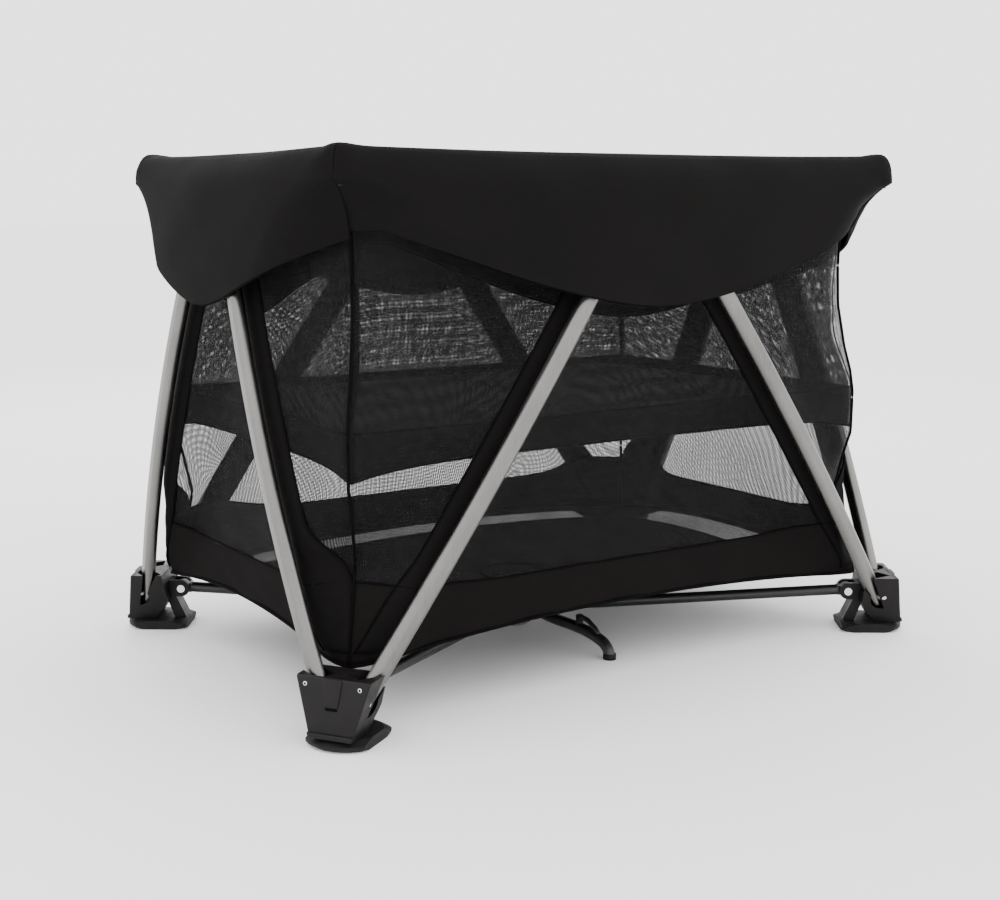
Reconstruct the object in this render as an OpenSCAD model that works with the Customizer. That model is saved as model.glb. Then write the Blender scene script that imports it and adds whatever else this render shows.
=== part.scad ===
// Folding playpen with a hung bassinet: eight leg tubes, eight half rails and a centre hub with four arms.
// Everything is symmetric about the length and the width, so each part is drawn in the corner
// at +X +Y and mirrored to the others.

/* [Frame] */
// Distance from the centre to the middle of a foot, along the length
foot_x = 518; // [512:1:524]
// Distance from the centre to the middle of a foot, across the width
foot_y = 354; // [348:1:360]
// Height of the centre line of the top rails
rail_z = 766; // [762:1:770]
// Diameter of the top rails
rail_d = 26; // [22:1:28]
// Width of a leg tube along its side of the frame
leg_w = 28; // [24:1:28]
// Thickness of a leg tube across its side of the frame
leg_t = 20; // [16:1:20]
// How far a leg tube bows outwards at its middle
leg_bow = 16; // [10:1:18]

/* [Centre hub and arms] */
// Diameter of the arms under the floor
arm_d = 18; // [14:1:18]
// Distance from the centre to the hinge pin of an arm
hub_r = 45; // [44:1:46]
// Height of the hinge pins in the hub
hub_z = 33; // [31:1:35]
// Distance from the middle of a foot inwards to the hinge pin of its arm
lug_r = 58; // [56:1:60]
// Height of the hinge pin of an arm in the foot
lug_z = 65; // [63:1:67]
// Reach of a centre leg from the centre of the hub
centre_leg_y = 259; // [250:1:268]

/* [Fabric] */
// Thickness of the mesh and fabric walls
wall_t = 3; // [2:0.5:3]
// Thickness of the padded cover over the rails
cover_t = 3; // [2:0.5:4]
// Height of the bottom of the bassinet at its middle
tub_z = 368; // [360:1:380]
// Thickness of the mattress
mattress_t = 32; // [20:1:36]

/* [Hidden] */

satin = [0.72, 0.72, 0.73];
black = [0.10, 0.10, 0.10];
plastic = [0.27, 0.26, 0.27];
grey_pad = [0.42, 0.41, 0.42];
cloth = [0.13, 0.13, 0.13];
mesh_grey = [0.45, 0.45, 0.46];
steel = [0.8, 0.8, 0.8];

gap = 0.5;            // clearance round a moving part
fit = 0.05;           // radial clearance of a pin in its bore
pin_d = 8;            // hinge pins
diag = atan2(foot_y, foot_x);
foot_r = norm([foot_x, foot_y]);

// hinges of the leg tubes on the long sides (in the plane y = long_y) and the short sides (x = short_x)
long_y = foot_y + 15;
long_foot = [foot_x - 27, 60];
long_top = [60, 681];
short_x = foot_x + 12;
short_foot = [foot_y - 23, 60];
short_top = [48, 690];
folded_lean = 1.8;    // lean of a long side's tubes when folded; the short sides' stand upright

// hinges of the rails in the mid hubs, and where the rails end
rail_y = 335;
rail_x = 497;
long_hinge = 80;
short_hinge = 20;
long_end = 452;
short_end = 282;

// ---- helpers ----
module quadrant(sx, sy) {
    mirror([sx < 0 ? 1 : 0, 0, 0]) mirror([0, sy < 0 ? 1 : 0, 0]) children();
}
module at_foot() {
    translate([foot_x, foot_y, 0]) rotate([0, 0, diag]) children();
}
// extrudes an outline drawn as (x, z) along y, centred
module along_y(length) {
    rotate([90, 0, 0]) translate([0, 0, -length / 2]) linear_extrude(length) children();
}
// extrudes an outline drawn as (y, z) along x, centred
module along_x(length) {
    rotate([90, 0, 90]) translate([0, 0, -length / 2]) linear_extrude(length) children();
}
module oval(w, t) {
    polygon([for (s = [1, -1], a = [-90 : 10 : 90]) s * [(w - t) / 2 + t / 2 * cos(a), t / 2 * sin(a)]]);
}
module ring(outer, inner, length) {
    difference() {
        cylinder(d = outer, h = length, center = true, $fn = 48);
        cylinder(d = inner, h = length + 2, center = true, $fn = 48);
    }
}

// ---- leg tubes ----
leg_wall = 1.6;
module on_bow(a, b, bend_r, half) {
    translate([(a[0] + b[0]) / 2, 0, (a[1] + b[1]) / 2]) rotate([0, -atan2(a[0] - b[0], b[1] - a[1]), 0])
        translate([0, leg_bow - bend_r, 0]) rotate([0, 90, 0]) rotate([0, 0, 90 - half])
            rotate_extrude(angle = 2 * half, $fn = 720) translate([bend_r, 0]) rotate(90) children();
}
// Bowed tube whose hinges are at a = [u, z] and b = [u, z] of the plane v = 0, bowing towards +v.
module bowed_tube(a, b) {
    chord = norm(b - a);
    bend_r = chord * chord / (8 * leg_bow) + leg_bow / 2;
    half = asin(chord / 2 / bend_r);
    end = 11 / bend_r * 180 / PI;
    difference() {
        on_bow(a, b, bend_r, half + end) oval(leg_w, leg_t);
        on_bow(a, b, bend_r, half + 2 * end) oval(leg_w - 2 * leg_wall, leg_t - 2 * leg_wall);
        for (p = [a, b]) translate([p[0], 0, p[1]]) rotate([90, 0, 0])
            cylinder(d = pin_d + 2 * fit, h = 60, center = true, $fn = 32);
    }
}
module long_leg() {
    color(satin) translate([0, long_y, 0]) bowed_tube(long_foot, long_top);
}
module short_leg() {
    color(satin) translate([short_x, 0, 0]) mirror([1, -1, 0]) bowed_tube(short_foot, short_top);
}

// ---- feet ----
foot_top = 97;
pad_top = 15;
// room for a tube that swings from its lean at rest to upright, hinged at the origin
module swing_room(lean) {
    r = leg_w / 2 + 1;
    circle(leg_w / 2 + 5, $fn = 48);
    polygon([[r, 0], [r, 90], [-sin(lean) * 120 - r, 90], [-cos(lean) * r, -sin(lean) * r]]);
}
module foot() {
    color(plastic) difference() {
        union() {
            at_foot() intersection() {
                along_y(140) polygon([[-34, foot_top], [14, foot_top], [26, pad_top], [-16, pad_top],
                    [-40, 50]]);
                along_x(140) polygon([[-56, foot_top], [56, foot_top], [32, pad_top], [-32, pad_top]]);
            }
            at_foot() along_y(2 * 17) {
                translate([-lug_r, lug_z]) circle(14, $fn = 48);
                polygon([[-lug_r, lug_z + 14], [-20, lug_z + 14], [-20, lug_z - 14], [-lug_r, lug_z - 14]]);
                polygon([[-28, 62], [-44, 62], [-66, pad_top], [-46, pad_top]]);
            }
        }
        // tubes of the long and the short side
        translate([long_foot[0], long_y + 3, long_foot[1]]) along_y(leg_t + 8) swing_room(35);
        translate([short_x + 3, short_foot[0], short_foot[1]]) along_x(leg_t + 8) swing_room(25);
        // slot for the arm
        at_foot() {
            translate([-lug_r - 10, 0, lug_z + 40]) cube([48, arm_d + 2 * gap + 1, 110], center = true);
            translate([-lug_r, 0, lug_z]) rotate([90, 0, 0])
                cylinder(d = pin_d, h = 60, center = true, $fn = 32);
        }
        foot_pin_bores();
        // recess of the front face and its slot
        at_foot() translate([20, 0, 0]) along_x(20) polygon([[-15, foot_top + 5], [15, foot_top + 5],
            [9, 52], [-9, 52]]);
    }
}
module foot_pin_bores() {
    translate([long_foot[0], long_y, long_foot[1]]) rotate([90, 0, 0])
        cylinder(d = pin_d, h = 46, center = true, $fn = 32);
    translate([short_x, short_foot[0], short_foot[1]]) rotate([0, 90, 0])
        cylinder(d = pin_d, h = 46, center = true, $fn = 32);
}
module foot_pins() {
    color(steel) {
        intersection() {
            foot_pin_bores();
            at_foot() intersection() {
                along_y(140) polygon([[-34, foot_top], [10, foot_top], [20, pad_top], [-34, pad_top]]);
                along_x(140) polygon([[-54, foot_top], [54, foot_top], [30, pad_top], [-30, pad_top]]);
            }
        }
        at_foot() translate([-lug_r, 0, lug_z]) rotate([90, 0, 0]) {
            cylinder(d = pin_d, h = 34, center = true, $fn = 32);
            for (s = [-1, 1]) translate([0, 0, s * 18.5]) cylinder(d = 13, h = 3, center = true, $fn = 32);
        }
    }
}
module pad() {
    color(grey_pad) at_foot() intersection() {
        translate([-24, 0, 0]) rotate_extrude($fn = 64) polygon([[0, 0], [52, 0], [60, 5], [60, 9], [48, pad_top],
            [0, pad_top]]);
        translate([0, 0, pad_top / 2]) cube([140, 90, pad_top], center = true);
    }
}

// ---- arms, hub and centre legs ----
arm_len = norm([foot_r - lug_r - hub_r, lug_z - hub_z]);
arm_rise = atan2(lug_z - hub_z, foot_r - lug_r - hub_r);
module arm() {
    color(black) rotate([0, 0, diag]) translate([hub_r, 0, hub_z]) rotate([0, -arm_rise, 0]) difference() {
        union() {
            translate([12, 0, 0]) rotate([0, 90, 0]) cylinder(d = arm_d, h = arm_len - 24, $fn = 48);
            for (x = [0, arm_len]) translate([x, 0, 0]) rotate([90, 0, 0])
                cylinder(d = 24, h = arm_d - 2, center = true, $fn = 48);
            for (x = [0, arm_len - 16]) translate([x, -(arm_d - 2) / 2, -8]) cube([16, arm_d - 2, 16]);
        }
        for (x = [0, arm_len]) translate([x, 0, 0]) rotate([90, 0, 0])
            cylinder(d = pin_d + 2 * fit, h = arm_d + 4, center = true, $fn = 32);
    }
}
hub_top = 52;
hub_low = 17;
module centre_hub() {
    color(black) difference() {
        union() {
            translate([0, 0, hub_low]) cylinder(r = 42, h = hub_top - hub_low, $fn = 96);
            for (a = [diag, 180 - diag, 180 + diag, -diag]) rotate([0, 0, a]) along_y(34) {
                translate([hub_r, hub_z]) circle(14, $fn = 48);
                translate([20, hub_z - 14]) square([hub_r - 20, 28]);
            }
            for (s = [-1, 1]) translate([s * 16, s * -42, hub_z]) rotate([0, 90, 0])
                cylinder(r = 13, h = 30, center = true, $fn = 48);
            for (s = [-1, 1]) translate([s * 16, s * -34, hub_z]) cube([30, 18, 26], center = true);
        }
        for (a = [diag, 180 - diag, 180 + diag, -diag]) rotate([0, 0, a]) {
            translate([hub_r + 10, 0, hub_z - 10]) cube([48, arm_d + 2 * gap, 80], center = true);
            translate([hub_r, 0, hub_z]) rotate([90, 0, 0]) cylinder(d = pin_d, h = 60, center = true, $fn = 32);
        }
        for (s = [-1, 1]) {
            translate([s * 16, s * -52, hub_z - 12]) cube([17, 46, 60], center = true);
            translate([s * 16, s * -42, hub_z]) rotate([0, 90, 0])
                cylinder(d = pin_d, h = 60, center = true, $fn = 32);
        }
        // well of the pull handle
        translate([0, 0, hub_top - 22]) cylinder(r = 12, h = 30, $fn = 64);
    }
}
module hub_pins() {
    color(steel) {
        for (a = [diag, 180 - diag, 180 + diag, -diag]) rotate([0, 0, a])
            translate([hub_r, 0, hub_z]) rotate([90, 0, 0]) cylinder(d = pin_d, h = 34, center = true, $fn = 32);
        for (s = [-1, 1]) translate([s * 16, s * -42, hub_z]) rotate([0, 90, 0])
            cylinder(d = pin_d, h = 28, center = true, $fn = 32);
    }
}
module hub_base() {
    color(grey_pad) rotate_extrude($fn = 96) polygon([[0, 4], [25, 4], [31, 8], [31, hub_low], [0, hub_low]]);
}
module fold_handle() {
    color(black) {
        translate([0, 0, hub_top - 20]) cylinder(r = 11.5, h = 26, $fn = 64);
        translate([0, 0, hub_top + 6]) rotate_extrude($fn = 64)
            polygon([[0, 0], [30, 0], [33, 3], [33, 6], [29, 10], [0, 12]]);
    }
}
// Round bar through points [y, z] of a vertical plane, with a knuckle at each bend and a peg to the ground
module centre_leg() {
    path = [[0, hub_z], [-44, hub_z - 3], [-120, hub_z - 2], [-176, hub_z - 7], [-centre_leg_y + 48, 10]];
    foot_end = path[len(path) - 1];
    color(black) translate([16, -42, 0]) difference() {
        along_x(15) {
            translate(path[0]) circle(d = 22, $fn = 48);
            for (i = [0 : len(path) - 2]) {
                step = path[i + 1] - path[i];
                translate(path[i]) rotate(atan2(step[1], step[0])) translate([0, -7.5]) square([norm(step), 15]);
            }
            for (i = [1 : len(path) - 1]) translate(path[i]) circle(d = 17, $fn = 48);
            translate([foot_end[0] - 10, 0]) square([20, 10]);
        }
        translate([0, 0, path[0][1]]) rotate([0, 90, 0])
            cylinder(d = pin_d + 2 * fit, h = 60, center = true, $fn = 32);
    }
}

// ---- mid hubs, rails and corners ----
// The parts of a side are drawn with u along the side, v outwards from the plane of its tubes, and z up.
module long_side(sy) {
    mirror([0, sy < 0 ? 1 : 0, 0]) translate([0, long_y, 0]) children();
}
module short_side(sx) {
    mirror([sx < 0 ? 1 : 0, 0, 0]) translate([short_x, 0, 0]) mirror([1, -1, 0]) children();
}
eye = rail_d / 2 + 1;      // room round the eye of a rail
// Hub between two tubes that turn on pins at u = top[0] and two rails hinged at u = hinge. The tube at
// the side named by carrier turns on a pin, and the other one stands in an open seat.
module mid_hub(top, hinge, carrier, back) {
    spine = top[0] - 22;
    color(black) {
        difference() {
            union() {
                for (plate = [[13.4, 3.4, 10], [-15.5, 5.5, 18]]) translate([0, plate[0], 0]) along_y(plate[1]) {
                    for (s = [-1, 1]) translate([s * top[0], top[1]]) circle(plate[2], $fn = 48);
                    translate([-top[0], top[1] - plate[2]]) square([2 * top[0], 2 * plate[2]]);
                    translate([-spine, top[1]]) square([2 * spine, 25]);
                }
                translate([-spine, -18, top[1] - 10]) cube([2 * spine, 32, 35]);
                translate([-spine, -18, top[1]]) cube([2 * spine, 20, rail_z - 20 - top[1]]);
                translate([-spine, -20, top[1]]) cube([2 * spine, 6, rail_z + 10 - top[1]]);
                translate([0, -back, 0]) along_y(2 * 17.5) {
                    for (s = [-1, 1]) translate([s * hinge, rail_z]) circle(13, $fn = 48);
                    translate([-hinge, rail_z - 13]) square([2 * hinge, 26]);
                }
            }
            for (s = [0, 1]) mirror([s, 0, 0]) translate([hinge, -back, rail_z]) along_y(rail_d + 2 * gap) {
                circle(eye, $fn = 48);
                translate([0, -90]) square([120, 120]);
                translate([-eye, -90]) square([120, 90]);
            }
        }
        for (s = [0, 1]) mirror([s, 0, 0]) translate([hinge, -back, rail_z]) rotate([90, 0, 0])
            cylinder(d = pin_d, h = 35, center = true, $fn = 32);
        translate([carrier * top[0], -1, top[1]]) rotate([90, 0, 0])
            cylinder(d = pin_d, h = 26, center = true, $fn = 32);
    }
}
// Half rail from its eye at u = from to its outer end
module rail(from, to) {
    color(black) translate([from, 0, rail_z]) difference() {
        union() {
            rotate([90, 0, 0]) cylinder(d = rail_d, h = rail_d, center = true, $fn = 64);
            rotate([0, 90, 0]) cylinder(d = rail_d, h = to - from, $fn = 64);
        }
        rotate([90, 0, 0]) cylinder(d = pin_d + 2 * fit, h = 40, center = true, $fn = 32);
        translate([26, 0, 0]) rotate([0, 90, 0]) cylinder(d = rail_d - 4, h = to, $fn = 64);
    }
}
// Corner piece: a socket on the end of the long rail and a low shelf that the short rail's end rests on
module corner() {
    low = rail_z - rail_d / 2 - gap;
    color(black) {
        difference() {
            translate([long_end - 24, rail_y, rail_z]) rotate([0, 90, 0]) cylinder(d = rail_d + 6, h = 46, $fn = 64);
            translate([long_end - 30, rail_y, rail_z]) rotate([0, 90, 0]) cylinder(d = rail_d, h = 30, $fn = 64);
            translate([long_end - 30, rail_y - 30, rail_z - 60]) cube([80, 60, 47 - gap]);
        }
        translate([long_end - 24, rail_y - 10, low - 12]) cube([rail_x + 4 - long_end + 24, 20, 12]);
        translate([rail_x - 14, short_end - 16, low - 12]) cube([18, rail_y - short_end + 26, 12]);
    }
}

// ---- fabric ----
// A closed skin through loops of points, each with the same number of points
module skin(loops) {
    n = len(loops[0]);
    m = len(loops);
    polyhedron([for (l = loops) each l], [
        for (i = [0 : m - 2], j = [0 : n - 1]) [i * n + j, (i + 1) * n + j, (i + 1) * n + (j + 1) % n],
        for (i = [0 : m - 2], j = [0 : n - 1]) [i * n + j, (i + 1) * n + (j + 1) % n, i * n + (j + 1) % n],
        [for (j = [0 : n - 1]) j],
        [for (j = [n - 1 : -1 : 0]) (m - 1) * n + j]
    ]);
}
// Height of the cover's lower edge outside, u along a side whose straight part ends at half
function cover_low(u, half) = 572 + 105 * pow(min(1, abs(u) / (half * 0.86)), 1.45);
inner_drop = 24;      // the cover reaches lower inside
// Cover drawn with w outwards from the centre: half is the half length at the rails, row the rails' w, out the
// depth of the lobe over the mid hub.
module cover(half, row, out) {
    steps = 24;
    skin([for (i = [-steps : steps]) let (
        t = i / steps,
        lobe = out * pow(cos(90 * t), 0.8),
        low = cover_low(t * half, half),
        top = rail_z + 22,
        wall = row - 24,
        // the outer face down the outside, over the rail and down the inside, as [w, z]
        face = [[row + 25 + lobe, low], [row + 21 + lobe, 705], [row + 20 + lobe * 0.7, top - 22],
            [row + 9 + lobe * 0.3, top - 3], [row, top], [row - 14, top - 2], [wall + 1, top - 7],
            [wall + 1, low - inner_drop]],
        back = [[wall + cover_t, low - inner_drop], [wall + cover_t, top - 8], [row - 12, top - 5],
            [row, top - cover_t], [row + 7 + lobe * 0.3, top - 6], [row + 20 - cover_t + lobe * 0.7, top - 24],
            [row + 21 - cover_t + lobe, 705], [row + 25 - cover_t + lobe, low]])
        [for (p = concat(face, back)) [t * (half + p[0] - row), p[0], p[1]]]]);
}
module cover_long() { color(cloth) cover(rail_x - 1, rail_y, 35); }
module cover_short() { color(cloth) mirror([1, -1, 0]) cover(rail_y - 1, rail_x, 33); }
// Wall of mesh inside the tubes, with an arched bottom edge, under the inner edge of the cover
module wall(half, row) {
    steps = 16;
    low = 92;
    arch = 30;
    translate([0, row - 22.5, 0]) along_y(wall_t) polygon(concat(
        [for (i = [-steps : steps]) [i / steps * (half - 22), cover_low(i / steps * half, half) - inner_drop - 2]],
        [for (i = [steps : -1 : -steps]) [i / steps * (half - 22), low + arch * (1 - pow(i / steps, 2))]]));
}
module wall_long() { color(mesh_grey) wall(rail_x, rail_y); }
module wall_short() { color(mesh_grey) mirror([1, -1, 0]) wall(rail_y - 2, rail_x + 4.5); }
module floor_sheet() {
    x = rail_x - 28;
    y = rail_y - 28;
    n = 12;
    thick = 3;
    function height(a, b) = 94 + 22 * pow(a * a - b * b, 2);
    difference() {
        color(mesh_grey) skin([for (i = [-n : n]) concat(
            [for (j = [-n : n]) [x * i / n, y * j / n, height(i / n, j / n)]],
            [for (j = [n : -1 : -n]) [x * i / n, y * j / n, height(i / n, j / n) + thick]])]);
        cylinder(r = 40, h = 300, $fn = 64);
    }
}
tub_x = 456;
tub_y = 298;
tub_top = 742;
module bassinet() {
    module block(grow, low) {
        hull() {
            translate([0, 0, low]) linear_extrude(1) square([2 * (tub_x + grow), 2 * (tub_y + grow)], center = true);
            translate([0, 0, tub_top + (grow < 0 ? 1 : 0)]) linear_extrude(1)
                square([2 * (tub_x + 11 + grow), 2 * (tub_y + 8 + grow)], center = true);
        }
    }
    color(cloth) difference() {
        block(0, tub_z);
        block(-wall_t, tub_z + wall_t);
    }
}
module mattress() {
    r = 30;
    color(cloth) translate([0, 0, tub_z + wall_t + 0.5]) linear_extrude(mattress_t) {
        square([2 * (tub_x - 8), 2 * (tub_y - 8 - r)], center = true);
        square([2 * (tub_x - 8 - r), 2 * (tub_y - 8)], center = true);
        for (a = [-1, 1], b = [-1, 1]) translate([a * (tub_x - 8 - r), b * (tub_y - 8 - r)]) circle(r, $fn = 48);
    }
}
module bassinet_clips() {
    // hook over the rim of the bassinet, drawn outside a wall at y = 0
    module clip() {
        along_x(36) polygon([[0, tub_top - 30], [3, tub_top - 30], [3, tub_top + 5], [-9, tub_top + 5],
            [-9, tub_top - 12], [-6, tub_top - 12], [-6, tub_top + 2], [0, tub_top + 2]]);
    }
    color(plastic) for (a = [-1, 1]) {
        for (s = [0, 1]) mirror([0, s, 0]) translate([a * 240, tub_y + 8.8, 0]) clip();
        for (s = [0, 1]) mirror([s, 0, 0]) translate([tub_x + 11.8, a * 150, 0]) mirror([1, -1, 0]) clip();
    }
}

quadrant(-1, -1) foot();  // foot_front_left
quadrant(1, -1) foot();  // foot_front_right
quadrant(-1, 1) foot();  // foot_back_left
quadrant(1, 1) foot();  // foot_back_right
quadrant(-1, -1) pad();  // pad_front_left
quadrant(1, -1) pad();  // pad_front_right
quadrant(-1, 1) pad();  // pad_back_left
quadrant(1, 1) pad();  // pad_back_right
quadrant(-1, -1) foot_pins();  // foot_pins_front_left
quadrant(1, -1) foot_pins();  // foot_pins_front_right
quadrant(-1, 1) foot_pins();  // foot_pins_back_left
quadrant(1, 1) foot_pins();  // foot_pins_back_right
quadrant(-1, -1) arm();  // arm_front_left
quadrant(1, -1) arm();  // arm_front_right
quadrant(-1, 1) arm();  // arm_back_left
quadrant(1, 1) arm();  // arm_back_right
centre_hub();
hub_base();
hub_pins();
fold_handle();
centre_leg();  // centre_leg_front
mirror([1, 0, 0]) mirror([0, 1, 0]) centre_leg();  // centre_leg_back
quadrant(-1, -1) long_leg();  // leg_front_left
quadrant(1, -1) long_leg();  // leg_front_right
quadrant(-1, 1) long_leg();  // leg_back_left
quadrant(1, 1) long_leg();  // leg_back_right
quadrant(-1, -1) short_leg();  // leg_left_front
quadrant(-1, 1) short_leg();  // leg_left_back
quadrant(1, -1) short_leg();  // leg_right_front
quadrant(1, 1) short_leg();  // leg_right_back
long_side(-1) mid_hub(long_top, long_hinge, -1, long_y - rail_y);  // mid_hub_front
long_side(1) mid_hub(long_top, long_hinge, 1, long_y - rail_y);  // mid_hub_back
short_side(-1) mid_hub(short_top, short_hinge, 1, short_x - rail_x);  // mid_hub_left
short_side(1) mid_hub(short_top, short_hinge, -1, short_x - rail_x);  // mid_hub_right
quadrant(-1, -1) translate([0, rail_y, 0]) rail(long_hinge, long_end);  // rail_front_left
quadrant(1, -1) translate([0, rail_y, 0]) rail(long_hinge, long_end);  // rail_front_right
quadrant(-1, 1) translate([0, rail_y, 0]) rail(long_hinge, long_end);  // rail_back_left
quadrant(1, 1) translate([0, rail_y, 0]) rail(long_hinge, long_end);  // rail_back_right
quadrant(-1, -1) translate([rail_x, 0, 0]) mirror([1, -1, 0]) rail(short_hinge, short_end);  // rail_left_front
quadrant(-1, 1) translate([rail_x, 0, 0]) mirror([1, -1, 0]) rail(short_hinge, short_end);  // rail_left_back
quadrant(1, -1) translate([rail_x, 0, 0]) mirror([1, -1, 0]) rail(short_hinge, short_end);  // rail_right_front
quadrant(1, 1) translate([rail_x, 0, 0]) mirror([1, -1, 0]) rail(short_hinge, short_end);  // rail_right_back
quadrant(-1, -1) corner();  // corner_front_left
quadrant(1, -1) corner();  // corner_front_right
quadrant(-1, 1) corner();  // corner_back_left
quadrant(1, 1) corner();  // corner_back_right
mirror([0, 1, 0]) cover_long();  // cover_front
cover_long();  // cover_back
mirror([1, 0, 0]) cover_short();  // cover_left
cover_short();  // cover_right
mirror([0, 1, 0]) wall_long();  // wall_front
wall_long();  // wall_back
mirror([1, 0, 0]) wall_short();  // wall_left
wall_short();  // wall_right
floor_sheet();
bassinet();
mattress();
bassinet_clips();
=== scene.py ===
# Folding playpen: cloth, mesh and finishes over the fixed frame
import bmesh
import bpy
import numpy as np
from math import atan2, cos, exp, pi, radians, sin, sqrt
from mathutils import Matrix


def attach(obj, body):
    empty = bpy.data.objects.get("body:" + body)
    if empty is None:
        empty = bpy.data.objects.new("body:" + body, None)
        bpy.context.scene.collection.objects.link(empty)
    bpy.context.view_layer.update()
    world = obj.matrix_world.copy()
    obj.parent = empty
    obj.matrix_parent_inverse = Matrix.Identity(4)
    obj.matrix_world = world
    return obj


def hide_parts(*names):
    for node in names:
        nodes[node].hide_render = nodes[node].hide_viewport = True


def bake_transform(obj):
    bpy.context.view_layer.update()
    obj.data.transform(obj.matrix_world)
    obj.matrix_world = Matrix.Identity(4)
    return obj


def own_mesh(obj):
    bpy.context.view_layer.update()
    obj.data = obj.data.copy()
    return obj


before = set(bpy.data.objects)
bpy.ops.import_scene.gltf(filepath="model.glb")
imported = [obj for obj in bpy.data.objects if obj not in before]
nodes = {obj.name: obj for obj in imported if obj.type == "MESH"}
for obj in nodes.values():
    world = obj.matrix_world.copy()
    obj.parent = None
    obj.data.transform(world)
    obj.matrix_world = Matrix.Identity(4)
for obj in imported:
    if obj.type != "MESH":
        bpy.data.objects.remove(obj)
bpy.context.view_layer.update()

# camera, floor and lights
cameraSet = {"place": (-1.399, -2.079, 0.725), "pitch": -9.53, "yaw": -33.41, "lens": 54.04}
cameraData = bpy.data.cameras.new("camera")
cameraData.lens = cameraSet["lens"]
cameraData.sensor_width = 36
cameraData.clip_end = 100
camera = bpy.data.objects.new("camera", cameraData)
camera.location = cameraSet["place"]
camera.rotation_euler = (radians(90 + cameraSet["pitch"]), 0, radians(cameraSet["yaw"]))
bpy.context.scene.collection.objects.link(camera)
bpy.context.scene.camera = camera


def addLight(name, place, aim, size, power):
    data = bpy.data.lights.new(name, "AREA")
    data.shape = "DISK"
    data.size = size
    data.energy = power
    lamp = bpy.data.objects.new(name, data)
    lamp.location = place
    direction = [a - p for a, p in zip(aim, place)]
    flat = sqrt(direction[0] ** 2 + direction[1] ** 2)
    lamp.rotation_euler = (atan2(flat, -direction[2]), 0, atan2(-direction[0], direction[1]))
    bpy.context.scene.collection.objects.link(lamp)


lightSet = {
    "keyLight": ((-2.6, -1.6, 3.2), (0, 0, 0.5), 2.6, 8),
    "fillLight": ((2.6, -2.6, 2.2), (0, 0, 0.4), 2.4, 18),
    "backLight": ((0.8, 3.0, 2.8), (0, 0, 0.5), 2.4, 50),
}
for lightName, (place, aim, size, power) in lightSet.items():
    addLight(lightName, place, aim, size, power)

world = bpy.data.worlds.new("studio")
bpy.context.scene.world = world
world.use_nodes = True
world.node_tree.nodes["Background"].inputs["Color"].default_value = (1, 1, 1, 1)
world.node_tree.nodes["Background"].inputs["Strength"].default_value = 2.7


# material helpers
def newMaterial(name, colour, rough, metal=0.0, sheen=0.0):
    material = bpy.data.materials.new(name)
    material.use_nodes = True
    shader = material.node_tree.nodes["Principled BSDF"]
    shader.inputs["Base Color"].default_value = (*colour, 1)
    shader.inputs["Roughness"].default_value = rough
    shader.inputs["Metallic"].default_value = metal
    shader.inputs["Sheen Weight"].default_value = sheen
    shader.inputs["Sheen Roughness"].default_value = 0.45
    return material


def addNode(material, kind, inputs=None, **settings):
    node = material.node_tree.nodes.new(kind)
    for key, value in settings.items():
        setattr(node, key, value)
    for key, value in (inputs or {}).items():
        if isinstance(value, bpy.types.NodeSocket):
            material.node_tree.links.new(value, node.inputs[key])
        else:
            node.inputs[key].default_value = value
    return node


def link(material, out, node, socket):
    material.node_tree.links.new(out, node.inputs[socket])


def calc(material, operation, a, b=0.0, clamp=False):
    inputs = {0: a, 1: b}
    return addNode(material, "ShaderNodeMath", inputs, operation=operation, use_clamp=clamp).outputs[0]


def patternAt(material, source="Object", scale=(1, 1, 1)):
    coordinate = addNode(material, "ShaderNodeTexCoord")
    inputs = {"Vector": coordinate.outputs[source], "Scale": scale}
    return addNode(material, "ShaderNodeMapping", inputs).outputs[0]


def grain(material, at, scale, detail=3.0, rough=0.55):
    return addNode(material, "ShaderNodeTexNoise",
                   {"Vector": at, "Scale": scale, "Detail": detail, "Roughness": rough}).outputs["Fac"]


def ramp(material, factor, stops):
    node = addNode(material, "ShaderNodeValToRGB", {"Fac": factor})
    band = node.color_ramp
    while len(band.elements) < len(stops):
        band.elements.new(0.5)
    for element, (position, colour) in zip(band.elements, stops):
        element.position = position
        element.color = (*colour, 1) if len(colour) == 3 else colour
    return node.outputs["Color"]


def bump(material, height, strength, distance, normal=None):
    inputs = {"Height": height, "Strength": strength, "Distance": distance}
    if normal is not None:
        inputs["Normal"] = normal
    return addNode(material, "ShaderNodeBump", inputs).outputs["Normal"]


def shaderOf(material):
    return material.node_tree.nodes["Principled BSDF"]


def spread(material, factor, low, high):
    inputs = {"Value": factor, "From Min": 0.3, "From Max": 0.7, "To Min": low, "To Max": high}
    return addNode(material, "ShaderNodeMapRange", inputs).outputs[0]


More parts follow.
